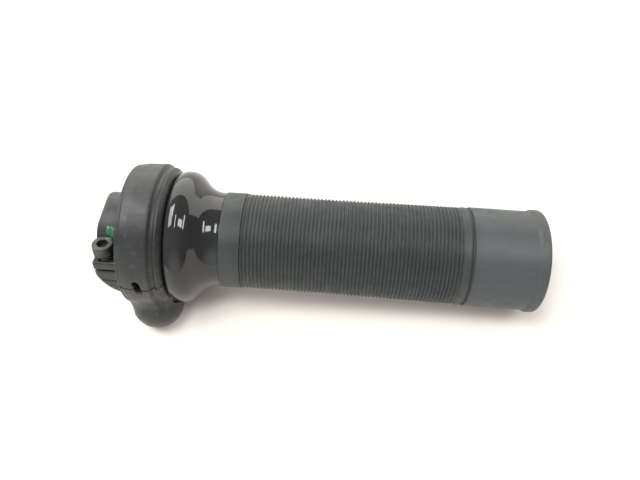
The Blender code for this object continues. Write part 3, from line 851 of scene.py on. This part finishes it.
def on_neck(along, across, height):
    """A point of the dab on the clamp neck."""
    angle = NECK_DAB_ANGLE + across / NECK_RADIUS
    return around(angle, NECK_RADIUS + height, NECK_DAB_X + along)


def on_head(along, across, height):
    """A point of the dab on the clamp screw's head."""
    x = SCREW_X + HEAD_DAB_OFFSET[0] + along
    out = SCREW_OUT + HEAD_DAB_OFFSET[1] + across
    return around(CLAMP_ANGLE, out, x, -(SCREW_TOP + height))


def make_pieces():
    """Each fine piece, with the body it rides on, and what it stands for."""
    wide = SHELL_RADIUS + 1
    deep = HOOD_OUT + HOOD_RADIUS + 1
    drum_reach = 23
    rows = [
        (make_flare_trim(), "twist_grip", "gloss_black", "flare_trim"),
        (make_rubber_grip(), "twist_grip", "soft_rubber", "rubber_grip"),
    ]
    # Name, field, lowest and highest corner, cell, slot, and the node it stands for.
    moulds = (
        (
            "upper_shell", upper_shell,
            (DRUM_START - 1, -wide, -8), (SHELL_END + 1, wide, wide),
            SHELL_CELL, "moulded_black", "cover_upper",
        ),
        (
            "lower_shell", lower_shell,
            (DRUM_START - 3, -deep, -deep), (HOOD_X + 12, wide, 8),
            SHELL_CELL, "moulded_black", "cover_lower",
        ),
        (
            "clamp_and_drum", housing,
            (-1, -drum_reach, -drum_reach), (DRUM_END + 1, drum_reach, drum_reach),
            SHELL_CELL, "moulded_black", "sensor_housing",
        ),
        (
            "cap_screw", cap_screw, (-1, -26, -16), (9, -4, 17),
            SCREW_CELL, "black_steel", "clamp_screw",
        ),
        (
            "lock_washer", lock_washer, (-1, -21, 1), (9, -8, 15),
            WASHER_CELL, "black_steel", "clamp_lock_washer",
        ),
        (
            "rubber_gland", cable_gland, (8, -27, -24), (15, -14, -10),
            GLAND_CELL, "soft_rubber", "cable_gland",
        ),
    )
    for name, field, low, high, cell, slot, node in moulds:
        piece = moulded(name, field, low, high, cell, LOOKS[slot])
        rows.append((piece, "housing", slot, node))
    for piece, body, slot, node in rows:
        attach(piece, body)
        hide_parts(node)

    dabs = [
        make_paint_dab("paint_dab_neck", (1.7, 2.1), 0.7, on_neck),
        make_paint_dab("paint_dab_screw", (1.0, 0.55), 2.1, on_head),
    ]
    for dab in dabs:
        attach(dab, "housing")


def paint_frame():
    """Give each CAD node that still shows its procedural material."""
    slots = {row["node"]: row["material_slot"] for row in frame["record"]["subparts"]}
    for name, obj in frame["nodes"].items():
        obj.data.materials.clear()
        obj.data.materials.append(LOOKS[slots[name]])


# ---------------------------------------------------------------- the set

def plain_material(name, colour, strength, glow):
    """A dull material of one colour that also glows."""
    made = bpy.data.materials.new(name)
    made.use_nodes = True
    shader = made.node_tree.nodes["Principled BSDF"]
    shader.inputs["Base Color"].default_value = (*colour, 1)
    shader.inputs["Roughness"].default_value = 0.8
    shader.inputs["Specular IOR Level"].default_value = 0.1
    shader.inputs["Emission Color"].default_value = (*glow, 1)
    shader.inputs["Emission Strength"].default_value = strength
    return made


def make_floor():
    """The bench, tilted so that the drum and the end flange both rest on it."""
    under = 0.1
    drum_low = Vector((SHELL_END - 4.5, 0, -SHELL_RADIUS - under))
    flange_low = Vector((GRIP_END - 1.5, 0, -FLANGE_RADIUS - under))
    run = flange_low - drum_low
    tilt = -math.atan2(run.z, run.x)
    bpy.ops.mesh.primitive_plane_add(size=0.9)
    floor = bpy.context.object
    floor.name = "bench"
    place = Matrix.Translation(drum_low * MM + Vector((0, 0.25, 0)))
    stretch = Matrix.Diagonal((1, 1.6, 1, 1))
    floor.matrix_world = place @ Matrix.Rotation(tilt, 4, "Y") @ stretch
    white = plain_material("bench_white", (0.42, 0.405, 0.385), 0.045, (1, 0.70, 0.42))
    floor.data.materials.append(white)


def make_card(name, centre, facing, size, colour, strength, length_axis=(0, 1, 0)):
    """A flat glowing panel that lights the set, its length along one axis."""
    bpy.ops.mesh.primitive_plane_add(size=1)
    card = bpy.context.object
    card.name = name
    normal = (Vector(facing) - Vector(centre)).normalized()
    breadth = Vector(length_axis).cross(normal).normalized()
    length = normal.cross(breadth)
    turn = Matrix((breadth, length, normal)).transposed().to_4x4()
    stretch = Matrix.Diagonal((*size, 1, 1))
    card.matrix_world = Matrix.Translation(Vector(centre)) @ turn @ stretch
    card.data.materials.append(plain_material(name + "_glow", colour, strength, colour))
    card.visible_camera = False
    card.visible_shadow = False


def make_area_light(name, place, size, energy, colour):
    """A soft lamp aimed at the middle of the object, not seen in the gloss."""
    place = Vector(place)
    data = bpy.data.lights.new(name, "AREA")
    data.shape = "RECTANGLE"
    data.size, data.size_y = size
    data.energy = energy
    data.color = colour
    lamp = bpy.data.objects.new(name, data)
    turn = (place - Vector(MIDDLE)).to_track_quat("Z", "Y").to_matrix().to_4x4()
    lamp.matrix_world = Matrix.Translation(place) @ turn
    lamp.visible_glossy = False
    lamp.visible_camera = False
    bpy.context.scene.collection.objects.link(lamp)


def make_world():
    """A dim room for the reflections, and a pale one for the camera.

    The room is lighter at the inboard end, and has a light wall in front.
    """
    world = bpy.data.worlds.new("studio")
    bpy.context.scene.world = world
    world.use_nodes = True
    tree = world.node_tree
    tree.nodes.clear()
    output = tree.nodes.new("ShaderNodeOutputWorld")
    mix = tree.nodes.new("ShaderNodeMixShader")
    path = tree.nodes.new("ShaderNodeLightPath")
    coords = tree.nodes.new("ShaderNodeTexCoord")
    split = tree.nodes.new("ShaderNodeSeparateXYZ")
    tree.links.new(coords.outputs["Generated"], split.inputs[0])
    fade = add_ramp(tree, split.outputs["X"], 0.28, 0.13, -0.6, 0.6)
    wall = add_ramp(tree, split.outputs["Y"], 0.85, 0.0, -0.98, -0.72)
    total = tree.nodes.new("ShaderNodeMath")
    total.operation = "ADD"
    tree.links.new(fade, total.inputs[0])
    tree.links.new(wall, total.inputs[1])
    room = tree.nodes.new("ShaderNodeBackground")
    room.inputs["Color"].default_value = (0.97, 1.0, 0.99, 1)
    tree.links.new(total.outputs["Value"], room.inputs["Strength"])
    pale = tree.nodes.new("ShaderNodeBackground")
    pale.inputs["Color"].default_value = (1, 1, 1, 1)
    pale.inputs["Strength"].default_value = 1.0
    tree.links.new(path.outputs["Is Camera Ray"], mix.inputs[0])
    tree.links.new(room.outputs[0], mix.inputs[1])
    tree.links.new(pale.outputs[0], mix.inputs[2])
    tree.links.new(mix.outputs[0], output.inputs[0])


MIDDLE = (0.075, 0, 0)
WINDOW_AIM = Vector((0.03, 0, 0))
WINDOW_DISTANCE = 0.65

# Name, place, size, power and colour of each lamp.
LAMPS = (
    ("overhead", (-0.20, -0.12, 1.0), (0.45, 0.45), 16, (1, 0.98, 0.96)),
    ("left_fill", (-0.50, -0.55, 0.14), (0.4, 0.2), 7, (1, 1, 1)),
    ("right_fill", (0.70, -0.45, 0.11), (0.4, 0.2), 4, (1, 1, 1)),
)

# Name, direction from the trim, size and strength of each window.
WINDOWS = (
    ("window_a", (-0.47, 0.27, 0.86), (0.07, 0.23), 13),
    ("window_b", (-0.12, -0.06, 0.98), (0.04, 0.24), 14),
    ("window_c", (0.37, -0.08, 0.90), (0.26, 0.14), 11),
    ("window_d", (0.68, 0.02, 0.73), (0.06, 0.24), 14),
    ("sky_left", (-0.60, 0.12, 0.79), (0.22, 0.36), 8.0),
)


def make_lights():
    """A bright backdrop, soft lamps, and the windows that the gloss shows."""
    make_card(
        "backdrop", (0.3, 1.0, 0.40), (0.3, 0, 0.1), (4.6, 0.95), (1, 0.99, 0.98), 1.7,
        (0, 0, 1),
    )
    for name, place, size, energy, colour in LAMPS:
        make_area_light(name, place, size, energy, colour)
    for name, direction, size, strength in WINDOWS:
        place = WINDOW_AIM + Vector(direction).normalized() * WINDOW_DISTANCE
        make_card(name, place, WINDOW_AIM, size, (1, 1, 1), strength)


def make_camera():
    """Look along the fitted direction: right, up and forward in the image."""
    bar = Vector((1, 0, 0))
    level = Vector((0, math.cos(CAMERA_ELEVATION), -math.sin(CAMERA_ELEVATION)))
    rise = Vector((0, math.sin(CAMERA_ELEVATION), math.cos(CAMERA_ELEVATION)))
    forward = level * math.cos(CAMERA_SWING) - bar * math.sin(CAMERA_SWING)
    across = bar * math.cos(CAMERA_SWING) + level * math.sin(CAMERA_SWING)
    right = across * math.cos(CAMERA_ROLL) + rise * math.sin(CAMERA_ROLL)
    up = -across * math.sin(CAMERA_ROLL) + rise * math.cos(CAMERA_ROLL)
    target = bar * CAMERA_TARGET[0] + up * CAMERA_TARGET[1]
    place = (target - forward * CAMERA_DISTANCE) * MM
    data = bpy.data.cameras.new("camera")
    data.sensor_width = SENSOR_WIDTH
    data.lens = LENS
    data.clip_start = 0.01
    camera = bpy.data.objects.new("camera", data)
    turn = Matrix((right, up, -forward)).transposed().to_4x4()
    camera.matrix_world = Matrix.Translation(place) @ turn
    bpy.context.scene.collection.objects.link(camera)
    bpy.context.scene.camera = camera


make_camera()
make_world()
make_floor()
make_lights()
paint_frame()
make_pieces()
bpy.context.scene.view_settings.view_transform = "Standard"
